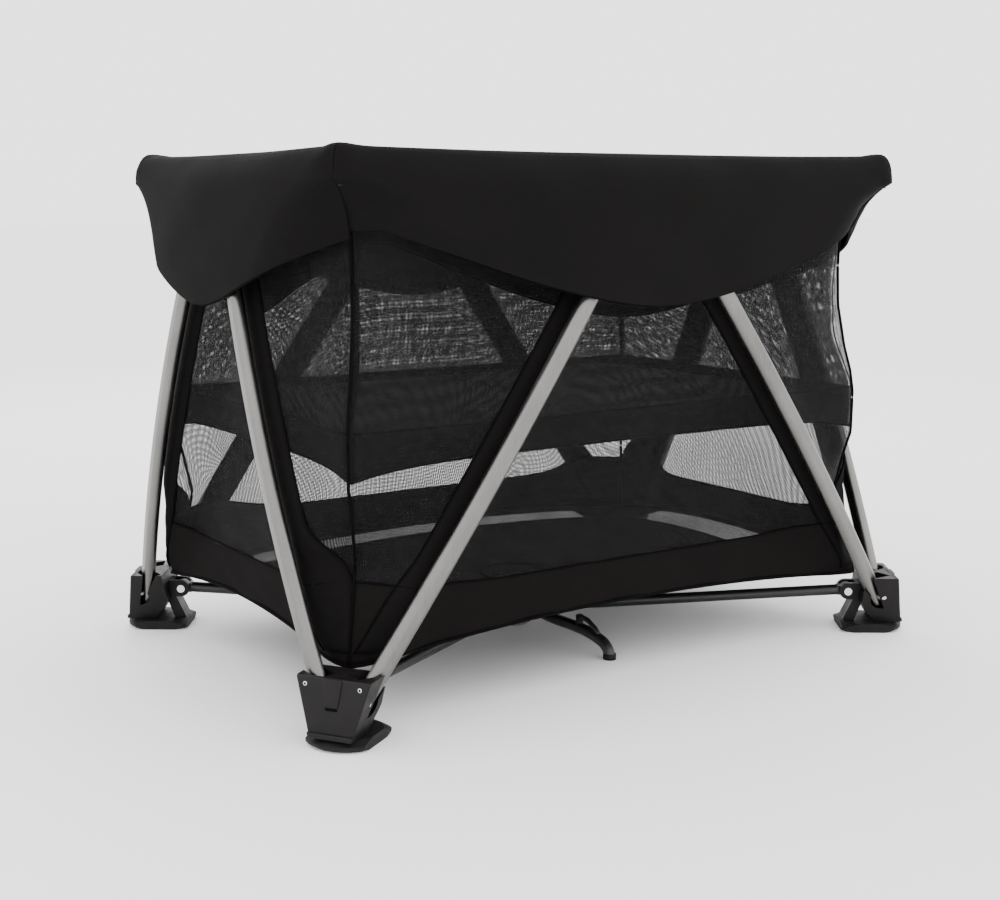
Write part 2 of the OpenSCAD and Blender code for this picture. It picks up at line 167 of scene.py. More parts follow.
# materials
def wovenCloth(name, dark, light, thread=0.0011, sheen=0.0, source="UV"):
    material = newMaterial(name, dark, 0.85, sheen=sheen)
    shader = shaderOf(material)
    shader.inputs["Specular IOR Level"].default_value = 0.04
    flat = patternAt(material, source)
    solid = patternAt(material, "Object")
    split = addNode(material, "ShaderNodeSeparateXYZ", {0: flat})
    wave = 2 * pi / thread
    warp = calc(material, "SINE", calc(material, "MULTIPLY", split.outputs[0], wave))
    weft = calc(material, "SINE", calc(material, "MULTIPLY", split.outputs[1], wave))
    weave = calc(material, "MULTIPLY", warp, weft)
    fuzz = grain(material, solid, 900, 2)
    cloud = grain(material, solid, 7, 4)
    slub = grain(material, patternAt(material, source, (40, 700, 1)), 1.0, 2)
    tone = calc(material, "MULTIPLY", cloud, 0.55)
    for layer, share in ((slub, 0.3), (fuzz, 0.15)):
        tone = calc(material, "ADD", tone, calc(material, "MULTIPLY", layer, share))
    colour = ramp(material, tone, [(0.32, dark), (0.68, light)])
    link(material, colour, shader, "Base Color")
    link(material, spread(material, cloud, 0.78, 0.92), shader, "Roughness")
    height = calc(material, "ADD", weave, calc(material, "MULTIPLY", slub, 1.2))
    fine = bump(material, height, 0.35, 0.00025)
    link(material, bump(material, grain(material, solid, 26, 4), 0.18, 0.004, fine), shader, "Normal")
    return material


def seeThroughMesh(name, colour, pitch, cover, solid=0.88):
    # knitted holes in rows, with the share of thread given by cover
    material = newMaterial(name, colour, 0.8, sheen=0.02)
    shader = shaderOf(material)
    shader.inputs["Specular IOR Level"].default_value = 0.10
    split = addNode(material, "ShaderNodeSeparateXYZ", {0: patternAt(material, "UV")})
    across = calc(material, "SINE", calc(material, "MULTIPLY", split.outputs[0], pi / pitch))
    up = calc(material, "SINE", calc(material, "MULTIPLY", split.outputs[1], 1.2 * pi / pitch))
    hole = calc(material, "ABSOLUTE", calc(material, "MULTIPLY", across, up))
    edges = {"Value": hole, "From Min": 0.10 * cover / 0.24, "From Max": 0.34 * cover / 0.24}
    edges.update({"To Min": 1.0, "To Max": 0.0})
    thread = addNode(material, "ShaderNodeMapRange", edges, interpolation_type="SMOOTHSTEP").outputs[0]
    cloud = grain(material, patternAt(material, "Object"), 9, 3)
    lift = spread(material, cloud, -0.02, 0.05)
    alpha = calc(material, "ADD", calc(material, "MULTIPLY", thread, solid), lift, clamp=True)
    link(material, alpha, shader, "Alpha")
    link(material, bump(material, thread, 0.4, 0.0004), shader, "Normal")
    return material


def finish(material, shader, solid, tone, gloss, texture):
    # cloudy colour, uneven roughness and a fine texture: a scale and two values for each
    colour = ramp(material, grain(material, solid, tone[0], 4), [(0.3, tone[1]), (0.7, tone[2])])
    link(material, colour, shader, "Base Color")
    link(material, spread(material, grain(material, solid, gloss[0], 3), *gloss[1:]), shader, "Roughness")
    link(material, bump(material, grain(material, solid, texture[0], 2), *texture[1:]), shader, "Normal")


def mouldedPlastic(name, dark, light, rough=0.5, grainSize=1400):
    material = newMaterial(name, dark, rough)
    shader = shaderOf(material)
    shader.inputs["Specular IOR Level"].default_value = 0.18
    solid = patternAt(material, "Object")
    gloss = (60, rough - 0.07, rough + 0.09)
    finish(material, shader, solid, (14, dark, light), gloss, (grainSize, 0.22, 0.00012))
    return material


def satinMetal(name, dark, light, rough, streak=(1, 1, 0.02)):
    material = newMaterial(name, dark, rough, metal=1.0)
    shader = shaderOf(material)
    solid = patternAt(material, "Object")
    brushed = grain(material, patternAt(material, "Object", tuple(900 * s for s in streak)), 1.0, 3)
    cloud = grain(material, solid, 9, 4)
    streaks = calc(material, "MULTIPLY", brushed, 0.45)
    tone = calc(material, "ADD", streaks, calc(material, "MULTIPLY", cloud, 0.55))
    link(material, ramp(material, tone, [(0.3, dark), (0.7, light)]), shader, "Base Color")
    link(material, spread(material, tone, rough - 0.06, rough + 0.08), shader, "Roughness")
    link(material, bump(material, brushed, 0.12, 0.0001), shader, "Normal")
    return material


def powderCoat(name, dark, light):
    material = newMaterial(name, dark, 0.42)
    shader = shaderOf(material)
    solid = patternAt(material, "Object")
    finish(material, shader, solid, (11, dark, light), (45, 0.34, 0.52), (1100, 0.16, 0.0001))
    return material


coverCloth = wovenCloth("coverCloth", (0.0040, 0.0037, 0.0036), (0.0066, 0.0061, 0.0060))
bandCloth = wovenCloth("bandCloth", (0.0036, 0.0031, 0.0032), (0.0062, 0.0055, 0.0057), 0.0014)
skirtCloth = wovenCloth("skirtCloth", (0.0042, 0.0035, 0.0034), (0.0070, 0.0060, 0.0058), 0.0014)
tubCloth = wovenCloth("tubCloth", (0.0050, 0.0044, 0.0050), (0.0082, 0.0074, 0.0082), 0.0012)
floorCloth = wovenCloth("floorCloth", (0.0045, 0.0041, 0.0042),
                        (0.0078, 0.0072, 0.0074), 0.0013, source="Object")
mattressCloth = wovenCloth("mattressCloth", (0.016, 0.0155, 0.0165),
                           (0.026, 0.025, 0.0265), 0.0016, source="Object")
seamThread = wovenCloth("seamThread", (0.0075, 0.0072, 0.0074),
                        (0.0125, 0.0120, 0.0122), 0.0005, source="Object")
bindingTape = wovenCloth("bindingTape", (0.0018, 0.0017, 0.0018), (0.0032, 0.0030, 0.0032), 0.0009)
shellMesh = seeThroughMesh("shellMesh", (0.0070, 0.0066, 0.0070), 0.0024, 0.66)
tubMesh = seeThroughMesh("tubMesh", (0.0075, 0.0070, 0.0075), 0.0022, 0.64)
floorMesh = seeThroughMesh("floorMesh", (0.0075, 0.0070, 0.0072), 0.0022, 1.00, 0.97)
footPlastic = mouldedPlastic("footPlastic", (0.0036, 0.0028, 0.0029), (0.0062, 0.0049, 0.0051), 0.46)
blackPlastic = mouldedPlastic("blackPlastic", (0.0045, 0.0043, 0.0045), (0.0075, 0.0072, 0.0075), 0.5)
greyPlastic = mouldedPlastic("greyPlastic", (0.10, 0.098, 0.10), (0.14, 0.137, 0.14), 0.5)
padRubber = mouldedPlastic("padRubber", (0.0040, 0.0036, 0.0037), (0.0075, 0.0068, 0.0070), 0.6, 700)
anodised = satinMetal("anodised", (0.125, 0.122, 0.116), (0.200, 0.196, 0.188), 0.32)
zincPin = satinMetal("zincPin", (0.55, 0.55, 0.56), (0.70, 0.70, 0.71), 0.24, (1, 1, 1))
blackTube = powderCoat("blackTube", (0.0045, 0.0043, 0.0045), (0.0075, 0.0072, 0.0075))
floorPaint = newMaterial("floorPaint", (0.92, 0.92, 0.92), 0.9)

finishOf = [("leg_", anodised), ("foot_pins", zincPin), ("hub_pins", zincPin), ("foot_", footPlastic),
            ("pad_", padRubber), ("arm_", blackTube), ("centre_leg", blackTube), ("rail_", blackTube),
            ("hub_base", greyPlastic), ("centre_hub", blackPlastic), ("fold_handle", blackPlastic),
            ("mid_hub", blackPlastic), ("corner_", blackPlastic), ("bassinet_clips", blackPlastic)]
for nodeName, nodeObject in nodes.items():
    for prefix, material in finishOf:
        if nodeName.startswith(prefix):
            nodeObject.data.materials.clear()
            nodeObject.data.materials.append(material)
            break
print("materials ready")


# mesh helpers
def newObject(name, vertices, faces, material, uvs=None, smooth=True):
    data = bpy.data.meshes.new(name)
    data.from_pydata([tuple(v) for v in vertices], [], faces)
    data.update()
    if uvs is not None:
        layer = data.uv_layers.new(name="cloth")
        loops = np.zeros(len(data.loops), int)
        data.loops.foreach_get("vertex_index", loops)
        layer.data.foreach_set("uv", np.asarray(uvs, float)[loops].ravel())
    made = bpy.data.objects.new(name, data)
    bpy.context.scene.collection.objects.link(made)
    for m in material if isinstance(material, (list, tuple)) else [material]:
        data.materials.append(m)
    if smooth:
        data.polygons.foreach_set("use_smooth", [True] * len(data.polygons))
    return made


def gridObject(name, points, material, uvs=None, flip=False, closed=False):
    # points[i][j] is a grid of places; closed joins the last column to the first
    points = np.asarray(points, float)
    rows, columns = points.shape[:2]
    faces = []
    for i in range(rows - 1):
        for j in range(columns if closed else columns - 1):
            k = (j + 1) % columns
            face = (i * columns + j, (i + 1) * columns + j, (i + 1) * columns + k, i * columns + k)
            faces.append(face[::-1] if flip else face)
    flat = None if uvs is None else np.asarray(uvs, float).reshape(-1, 2)
    return newObject(name, points.reshape(-1, 3), faces, material, flat)


def applyModifiers(made):
    evaluated = made.evaluated_get(bpy.context.evaluated_depsgraph_get())
    data = bpy.data.meshes.new_from_object(evaluated)
    old = made.data
    made.modifiers.clear()
    made.data = data
    bpy.data.meshes.remove(old)
    return made


def thicken(made, thickness, offset=-1.0):
    solidify = made.modifiers.new("thickness", "SOLIDIFY")
    solidify.thickness = thickness
    solidify.offset = offset
    return applyModifiers(made)


def tubeObject(name, path, radius, material, sides=8):
    path = np.asarray(path, float)
    tangent = np.gradient(path, axis=0)
    tangent /= np.linalg.norm(tangent, axis=1)[:, None]
    up = np.array([0, 0, 1.0])
    rings = []
    uvs = []
    along = np.concatenate([[0], np.cumsum(np.linalg.norm(np.diff(path, axis=0), axis=1))])
    for p, t, s in zip(path, tangent, along):
        a = np.cross(up, t)
        if np.linalg.norm(a) < 1e-3:
            a = np.cross([1.0, 0, 0], t)
        a /= np.linalg.norm(a)
        b = np.cross(t, a)
        turns = [2 * pi * k / sides for k in range(sides)]
        rings.append([p + radius * (cos(turn) * a + sin(turn) * b) for turn in turns])
        uvs.append([(s, 2 * radius * k / sides) for k in range(sides)])
    made = gridObject(name, rings, material, uvs, flip=True, closed=True)
    shape = bmesh.new()
    shape.from_mesh(made.data)
    bmesh.ops.holes_fill(shape, edges=[e for e in shape.edges if e.is_boundary])
    bmesh.ops.recalc_face_normals(shape, faces=shape.faces)
    shape.to_mesh(made.data)
    shape.free()
    return made


def stitchTree():
    # rows of short stitches along a polyline
    tree = bpy.data.node_groups.new("stitchRow", "GeometryNodeTree")
    face = tree.interface
    face.new_socket(name="Line", in_out="INPUT", socket_type="NodeSocketGeometry")
    for label, value in (("Pitch", 0.006), ("Length", 0.0036), ("Thickness", 0.0007)):
        face.new_socket(name=label, in_out="INPUT", socket_type="NodeSocketFloat").default_value = value
    face.new_socket(name="Seed", in_out="INPUT", socket_type="NodeSocketInt").default_value = 3
    face.new_socket(name="Thread", in_out="INPUT", socket_type="NodeSocketMaterial")
    face.new_socket(name="Stitches", in_out="OUTPUT", socket_type="NodeSocketGeometry")

    def add(kind, **settings):
        node = tree.nodes.new(kind)
        for key, value in settings.items():
            setattr(node, key, value)
        return node

    def join(out, node, socket):
        tree.links.new(out, node.inputs[socket])

    source = add("NodeGroupInput")
    curve = add("GeometryNodeMeshToCurve")
    points = add("GeometryNodeCurveToPoints", mode="LENGTH")
    bead = add("GeometryNodeMeshUVSphere")
    bead.inputs["Segments"].default_value = 6
    bead.inputs["Rings"].default_value = 4
    bead.inputs["Radius"].default_value = 0.5
    size = add("ShaderNodeCombineXYZ")
    shape = add("GeometryNodeTransform")
    jitter = add("FunctionNodeRandomValue", data_type="FLOAT")
    jitter.inputs[2].default_value = 0.90
    jitter.inputs[3].default_value = 1.08
    beads = add("GeometryNodeInstanceOnPoints")
    real = add("GeometryNodeRealizeInstances")
    thread = add("GeometryNodeSetMaterial")
    sink = add("NodeGroupOutput")
    join(source.outputs["Line"], curve, "Mesh")
    join(curve.outputs["Curve"], points, "Curve")
    join(source.outputs["Pitch"], points, "Length")
    join(source.outputs["Thickness"], size, "X")
    join(source.outputs["Thickness"], size, "Y")
    join(source.outputs["Length"], size, "Z")
    join(bead.outputs["Mesh"], shape, "Geometry")
    join(size.outputs["Vector"], shape, "Scale")
    join(source.outputs["Seed"], jitter, "Seed")
    join(points.outputs["Points"], beads, "Points")
    join(points.outputs["Rotation"], beads, "Rotation")
    join(shape.outputs["Geometry"], beads, "Instance")
    join(jitter.outputs[1], beads, "Scale")
    join(beads.outputs["Instances"], real, "Geometry")
    join(real.outputs["Geometry"], thread, "Geometry")
    join(source.outputs["Thread"], thread, "Material")
    join(thread.outputs["Geometry"], sink, "Stitches")
    return tree


def stitchRow(name, path, material, pitch=0.006, seed=3):
    data = bpy.data.meshes.new(name)
    data.from_pydata([tuple(p) for p in path], [(k, k + 1) for k in range(len(path) - 1)], [])
    made = bpy.data.objects.new(name, data)
    bpy.context.scene.collection.objects.link(made)
    row = made.modifiers.new("stitches", "NODES")
    row.node_group = stitchRows
    values = {"Pitch": pitch, "Seed": seed, "Thread": material}
    for item in stitchRows.interface.items_tree:
        if item.in_out == "INPUT" and item.name in values:
            row[item.identifier] = values[item.name]
    applyModifiers(made)
    made.data.polygons.foreach_set("use_smooth", [True] * len(made.data.polygons))
    return made


stitchRows = stitchTree()


def sharpenEdges(made, angle=50):
    # keep the normals of a face clear of the thin rim beside it
    shape = bmesh.new()
    shape.from_mesh(made.data)
    for edge in shape.edges:
        edge.smooth = len(edge.link_faces) != 2 or edge.calc_face_angle(0) < radians(angle)
    shape.to_mesh(made.data)
    shape.free()
    return made


def meshArea(made):
    return sum(p.area for p in made.data.polygons)


def noise3(points, scale, seed=0.0):
    # smooth wrinkle field from a few summed sines, the same each run
    p = np.asarray(points, float) * scale + seed
    x, y, z = p[..., 0], p[..., 1], p[..., 2]
    broad = np.sin(x * 1.7 + 1.3 * np.sin(z * 1.1 + 0.7)) * np.cos(y * 1.3 + z)
    return broad + 0.5 * np.sin(x * 3.1 - y * 2.3 + 2.1 * np.cos(z * 2.7))


# the shell's plan: a rounded rectangle whose size changes with height
def step(value, low, high):
    t = np.clip((np.asarray(value, float) - low) / (high - low), 0, 1)
    return t * t * (3 - 2 * t)


def corner(side, half, row, radius, a):
    # point on one side of a rounded rectangle, a from -1 to 1, ends at the corners' middles
    straight = half - radius
    total = straight + radius * pi / 4
    s = a * total
    turn = np.clip((np.abs(s) - straight) / np.maximum(radius, 1e-6), 0, pi / 4)
    u = np.where(np.abs(s) <= straight, s, np.sign(s) * (straight + radius * np.sin(turn)))
    w = np.where(np.abs(s) <= straight, row, row - radius + radius * np.cos(turn))
    return u, w, s


def onSide(side, u, w, z):
    u, w, z = np.broadcast_arrays(u, w, z)
    if side == "front":
        return np.stack([u, -w, z], -1)
    if side == "back":
        return np.stack([-u, w, z], -1)
    if side == "left":
        return np.stack([-w, -u, z], -1)
    return np.stack([w, u, z], -1)


sides = {
    "front": {"long": True, "out": (0, -1, 0), "along": (1, 0, 0)},
    "back": {"long": True, "out": (0, 1, 0), "along": (1, 0, 0)},
    "left": {"long": False, "out": (-1, 0, 0), "along": (0, 1, 0)},
    "right": {"long": False, "out": (1, 0, 0), "along": (0, 1, 0)},
}
shellSet = {"length": 0.486, "width": 0.320, "topOut": 0.006, "lowOut": 0.010, "top": 0.741,
            "skirtTopMid": 0.185, "skirtTopEnd": 0.205, "lowEnd": 0.094, "lowMid": 0.122,
            "bandWidth": 0.060, "bandLift": 0.0022, "drawnWidth": 0.060, "foldedKeep": 0.22,
            "skirtFlat": 0.125}


# corner radii of the walls and of the bassinet: heights, then radii
cornerSet = {
    "wall": ((0.09, 0.16, 0.235, 0.30, 0.335, 0.404, 0.44, 0.48, 0.55, 0.62, 0.68, 0.72, 0.745),
             (0.035, 0.060, 0.095, 0.060, 0.034, 0.032, 0.045, 0.072, 0.103, 0.110, 0.118, 0.090, 0.050)),
    "bassinet": ((0.34, 0.42, 0.45, 0.50, 0.58, 0.66, 0.74),
                 (0.012, 0.014, 0.028, 0.052, 0.068, 0.060, 0.045)),
}

# the leg tubes: their lean from the foot, and where they stand on the long and short sides
tubeSet = {"low": 0.060, "lean": 0.625, "bow": 0.016, "gap": 0.019,
           "long": {"row": 0.369, "foot": 0.491, "hub": 0.060, "top": 0.681},
           "short": {"row": 0.530, "foot": 0.331, "hub": 0.048, "top": 0.690}}


def shellPlan(z):
    # half length, half width and corner radius at a height
    out = shellSet["topOut"] * step(z, 0.60, 0.72) + shellSet["lowOut"] * (1 - step(z, 0.09, 0.22))
    pulled = np.interp(z, *cornerSet["wall"])
    return shellSet["length"] + out, shellSet["width"] + out, pulled


def shellPoint(side, a, z, lift=0.0):
    half, row, radius = shellPlan(z)
    if not sides[side]["long"]:
        half, row = row, half
    u, w, s = corner(side, half + lift, row + lift, radius, a)
    drawn = np.exp(-((np.abs(u) - tubeLine(side, z)) / shellSet["drawnWidth"]) ** 2)
    drawn = drawn * (1 - step(np.abs(a), 0.84, 0.99)) * (1 - step(z, 0.655, 0.715)) * step(z, 0.085, 0.13)
    return onSide(side, u, w + (tubeRow(side, z) - tubeSet["gap"] - row) * drawn, z), s


def tubeRow(side, z):
    # distance of the tubes' axis from the middle of the playpen at a height
    t = np.clip((z - tubeSet["low"]) / tubeSet["lean"], 0, 1)
    return tubeSet["long" if sides[side]["long"] else "short"]["row"] + tubeSet["bow"] * 4 * t * (1 - t)


def tubeLine(side, z):
    # where the tubes of a side stand along it at a height
    own = tubeSet["long" if sides[side]["long"] else "short"]
    return own["foot"] - (z - tubeSet["low"]) * (own["foot"] - own["hub"]) / (own["top"] - tubeSet["low"])


def bandAt(side, z, shift):
    # the parameter a of a band's edge at a height
    half, row, radius = shellPlan(z)
    if not sides[side]["long"]:
        half, row = row, half
    straight = half - radius
    u = tubeLine(side, z) + shift
    turned = straight + radius * np.arcsin(np.clip((u - straight) / radius, 0, 0.7))
    return np.clip(np.where(u > straight, turned, u) / (straight + radius * pi / 4), -1, 1)


def lowEdge(a):
    return shellSet["lowEnd"] + (shellSet["lowMid"] - shellSet["lowEnd"]) * (1 - a * a)


def skirtTop(a):
    rise = shellSet["skirtTopEnd"] - shellSet["skirtTopMid"]
    return shellSet["skirtTopMid"] + rise * step(np.abs(a), 0.50, 1.0)


def hangOnHub(made, side):
    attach(made, "mid_hub_" + side)
    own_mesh(made)


def declareSheet(made, width, height, on, layers=1):
    area = meshArea(made) / layers
    width = max(width, area / height)


def makeWall(side):
    columns, rows = 96, 56
    a = np.linspace(-1, 1, columns + 1)[None, :]
    v = np.linspace(0, 1, rows + 1)[:, None]
    low = skirtTop(a) - 0.004
    z = low + (shellSet["top"] - low) * v
    points, s = shellPoint(side, a + 0 * z, z)
    calm = 1 - step(np.abs(a), 0.85, 1.0)
    points += np.array(sides[side]["out"]) * (0.0011 * noise3(points, 19) * calm)[..., None]
    uvs = np.stack([s + 0 * z, z], -1)
    made = gridObject("wallMesh_" + side, points, shellMesh, uvs, flip=True)
    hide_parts("wall_" + side)
    height = shellSet["top"] - shellSet["skirtTopMid"] + 0.01
    declareSheet(made, float(s.max() - s.min()), height, ["mid_hub_" + side])
    hangOnHub(made, side)


def makeSkirt(side):
    columns, rows = 96, 12
    a = np.linspace(-1, 1, columns + 1)[None, :]
    v = np.linspace(0, 1, rows + 1)[:, None]
    z = lowEdge(a) + (skirtTop(a) - lowEdge(a)) * v
    points, s = shellPoint(side, a + 0 * z, z, 0.0012)
    calm = 1 - step(np.abs(a), 0.85, 1.0)
    ripple = 0.0014 * noise3(points, 24, 3.0) * (1 - 0.5 * v) * calm
    points += np.array(sides[side]["out"]) * ripple[..., None]
    made = gridObject("wallSkirt_" + side, points, skirtCloth, np.stack([s + 0 * z, z], -1), flip=True)
    thicken(made, 0.0016)
    declareSheet(made, float(s.max() - s.min()), shellSet["skirtFlat"], ["mid_hub_" + side], 2)
    hangOnHub(made, side)
    path, _ = shellPoint(side, a[0, 4:-4], skirtTop(a[0, 4:-4]) - 0.007, 0.0028)
    row = stitchRow("skirtStitches_" + side, path, seamThread, seed=7)
    hangOnHub(row, side)
    for edge, line, radius in (("Hem", lowEdge(a[0]), 0.0026), ("Tape", skirtTop(a[0]), 0.0016)):
        path, _ = shellPoint(side, a[0], line, 0.001)
        tape = tubeObject("skirt" + edge + "_" + side, path, radius, bindingTape)
        hangOnHub(tape, side)


def makeBands(side):
    # solid strips of cloth that follow the two tubes of the side, just inside them
    for sign, label in ((-1, "A"), (1, "B")):
        z = np.linspace(0.112, 0.700, 60)[:, None]
        wide = shellSet["bandWidth"] * (0.75 + 0.25 * step(z, 0.10, 0.22))
        across = np.linspace(-0.5, 0.5, 7)[None, :]
        a = bandAt(side, z, wide * across) * sign
        points, s = shellPoint(side, a, z + 0 * a, shellSet["bandLift"])
        made = gridObject("wallBand" + label + "_" + side, points, bandCloth, np.stack([s, z + 0 * s], -1),
                          flip=sign > 0)
        thicken(made, 0.0022)
        hangOnHub(made, side)
        for edge in (0, -1):
            tape = tubeObject("bandEdge" + label + "_" + side + ("In" if edge == 0 else "Out"),
                              points[:, edge], 0.0014, bindingTape, 6)
            hangOnHub(tape, side)


def makeSeam(side):
    # stitched edge down the corner at the end of a side
    z = np.linspace(0.096, shellSet["top"], 80)
    path, _ = shellPoint(side, 1.0 + 0 * z, z, 0.0012)
    tape = tubeObject("wallSeam_" + side, path, 0.0026, bindingTape, 6)
    hangOnHub(tape, side)


for side in sides:
    makeWall(side)
    makeSkirt(side)
    makeBands(side)
    makeSeam(side)
print("shell ready")

# padded cover over the rails
coverSet = {"length": 0.499, "width": 0.337, "top": 0.7895, "sag": 0.0045, "thickness": 0.0032,
            "lobeLong": 0.0345, "lobeShort": 0.032, "lowMid": 0.572, "lowEnd": 0.684, "innerDrop": 0.020,
            "knob": 0.003, "corner": 0.014, "taper": 0.170, "taperTop": 0.748, "steps": 56, "profile": 44,
            "seat": 0.766, "hingeLong": 0.080, "hingeShort": 0.020}


def coverProfile(lobe, low, top, drop):
    # [outwards, up] from the outer hem over the rail to the inner hem
    t = coverSet["top"] - top
    return [(0.0245 + lobe, low), (0.0240 + lobe, low + (0.705 - low) * 0.5), (0.0215 + lobe * 0.98, 0.705),
            (0.0212 + lobe * 0.88, 0.735), (0.0195 + lobe * 0.68, 0.757), (0.0165 + lobe * 0.5, 0.773 - t),
            (0.0115 + lobe * 0.33, 0.7835 - t), (0.0055 + lobe * 0.18, 0.7885 - t),
            (-0.002 + lobe * 0.06, top), (-0.010, top - 0.001), (-0.0165, top - 0.0045),
            (-0.0205, top - 0.011), (-0.0225, top - 0.022), (-0.0228, top - 0.05),
            (-0.0228, (top + low) * 0.5 - drop * 0.5), (-0.0228, low - drop)]


def smoothLine(points, count):
    # a line through the points, evenly spread, rounded by a cubic
    points = np.asarray(points, float)
    along = np.concatenate([[0], np.cumsum(np.linalg.norm(np.diff(points, axis=0), axis=1))])
    slopes = np.gradient(points, along, axis=0)
    where = np.linspace(0, along[-1], count)
    k = np.clip(np.searchsorted(along, where, side="right") - 1, 0, len(points) - 2)
    h = (along[k + 1] - along[k])[:, None]
    t = ((where - along[k])[:, None]) / h
    return ((2 * t ** 3 - 3 * t ** 2 + 1) * points[k] + (t ** 3 - 2 * t ** 2 + t) * h * slopes[k]
            + (-2 * t ** 3 + 3 * t ** 2) * points[k + 1] + (t ** 3 - t ** 2) * h * slopes[k + 1]), where


def coverLow(side, a):
    power = 1.45 if sides[side]["long"] else 1.12
    reach = 0.86 if sides[side]["long"] else 0.93
    blunt = 0.05 if sides[side]["long"] else 0.16
    soft = sqrt(a * a + blunt * blunt) - blunt
    return coverSet["lowMid"] + (coverSet["lowEnd"] - coverSet["lowMid"]) * min(1.0, soft / reach) ** power


def makeCover(side, half):
    # one half of a side's cover, from the middle (a = 0) to a corner (a = half)
    long = sides[side]["long"]
    steps = coverSet["steps"]
    count = coverSet["profile"]
    grid, uvs, hem = [], [], []
    for i in range(steps + 1):
        t = i / steps
        a = t * half
        lobe = (coverSet["lobeLong"] if long else coverSet["lobeShort"]) * max(0.0, cos(pi / 2 * t)) ** 0.8
        knob = coverSet["knob"] * exp(-((1 - t) / 0.05) ** 2)
        top = coverSet["top"] - coverSet["sag"] * (1 - t ** 3) + knob
        low = coverLow(side, t)
        line, along = smoothLine(coverProfile(lobe, low, top, coverSet["innerDrop"]), count)
        row = []
        for (off, z), v in zip(line, along):
            fall = min(1.0, max(0.0, (coverSet["taperTop"] - z) / (coverSet["taperTop"] - low))) ** 0.60
            rounding = coverSet["corner"] + coverSet["taper"] * fall + max(0.0, min(off, 0.02))
            base = off - lobe * step(off, -0.004, 0.02 + lobe)
            endRow = (coverSet["width"] if long else coverSet["length"]) + off
            endHalf = (coverSet["length"] if long else coverSet["width"]) + float(base)
            u, w, s = corner(side, endHalf, endRow, float(rounding), np.float64(a))
            row.append(onSide(side, float(u), float(w), float(z)))
            uvs.append((float(s), float(v)))
        grid.append(row)
    points = np.array(grid)
    out = np.array(sides[side]["out"])
    # soft creases: broad waves on the face, short puckers near the corner seam
    tt = np.linspace(0, 1, steps + 1)[:, None]
    face = np.linspace(0, 1, count)[None, :]
    mask = (1 - step(face, 0.42, 0.55)) * (1 - step(tt, 0.90, 1.0))
    pucker = 0.0014 * np.exp(-((0.93 - tt) / 0.06) ** 2) * np.sin(points[..., 2] * 190)
    crease = 0.0016 * noise3(points, 13, 1.0) + pucker
    points += out * (crease * mask)[..., None]
    name = side + ("A" if half < 0 else "B")
    made = gridObject("cover_" + name, points, coverCloth, uvs, flip=half > 0)
    sharpenEdges(thicken(made, coverSet["thickness"]))
    return made, points


def dressCover(side, half):
    made, points = makeCover(side, half)
    out = np.array(sides[side]["out"])
    name = side + ("A" if half < 0 else "B")

    def follow(piece):
        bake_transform(piece)

    if half < 0:
        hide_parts("cover_" + side)
    follow(made)
    inset = points[:, 2] * 0.45 + points[:, 3] * 0.55 + out * 0.0003
    for trim in (tubeObject("coverBinding_" + name, points[:, 0], 0.0021, bindingTape),
                 tubeObject("coverPiping_" + name, points[-1, 1:30], 0.0017, coverCloth),
                 stitchRow("coverStitches_" + name, inset, seamThread, seed=5),
                 tubeObject("coverInnerBinding_" + name, points[:, -1], 0.0018, bindingTape)):
        follow(trim)


for side in sides:
    for half in (-1, 1):
        dressCover(side, half)
print("cover ready")

# bassinet
tubSet = {"length": 0.463, "width": 0.302, "top": 0.741, "bandTop": 0.412,
          "lowMid": 0.366, "tip": 0.020, "seam": 0.009, "bandFlat": 0.068, "cells": 40,
          "bottomPlan": 0.36, "bottomFlat": (0.955, 0.630)}


def tubPlan(z):
    # half length, half width and corner radius of the bassinet at a height
    taut = 1 - step(z, 0.40, 0.52)
    grow = 0.006 * step(z, 0.45, 0.74)
    radius = np.interp(z, *cornerSet["bassinet"])
    return tubSet["length"] + grow + 0.013 * taut, tubSet["width"] + grow * 0.6 + 0.011 * taut, radius


def tubPoint(side, a, z, lift=0.0):
    half, row, radius = tubPlan(z)
    if not sides[side]["long"]:
        half, row = row, half
    u, w, s = corner(side, half + lift, row + lift, radius, a)
    return onSide(side, u, w, z), s


def tubLow(a):
    return tubSet["lowMid"] - tubSet["tip"] * np.exp(-(1 - np.abs(a)) / 0.16)


def tubSheet(name, side, lowLine, topLine, rows, lift, material, sink=0.0):
    a = np.linspace(-1, 1, 81)[None, :]
    v = np.linspace(0, 1, rows + 1)[:, None]
    low, top = lowLine(a) if callable(lowLine) else lowLine + 0 * a, topLine + 0 * a
    z = low + (top - low) * v
    points, s = tubPoint(side, a + 0 * z, z, lift)
    bulge = sink * (1 - a ** 2) * np.sin(pi * v)
    points += np.array(sides[side]["out"]) * (bulge + 0.0012 * noise3(points, 16, 5.0))[..., None]
    return gridObject(name + "_" + side, points, material, np.stack([s + 0 * z, z], -1), flip=True), s


def hangOnTub(made):
    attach(made, "bassinet")


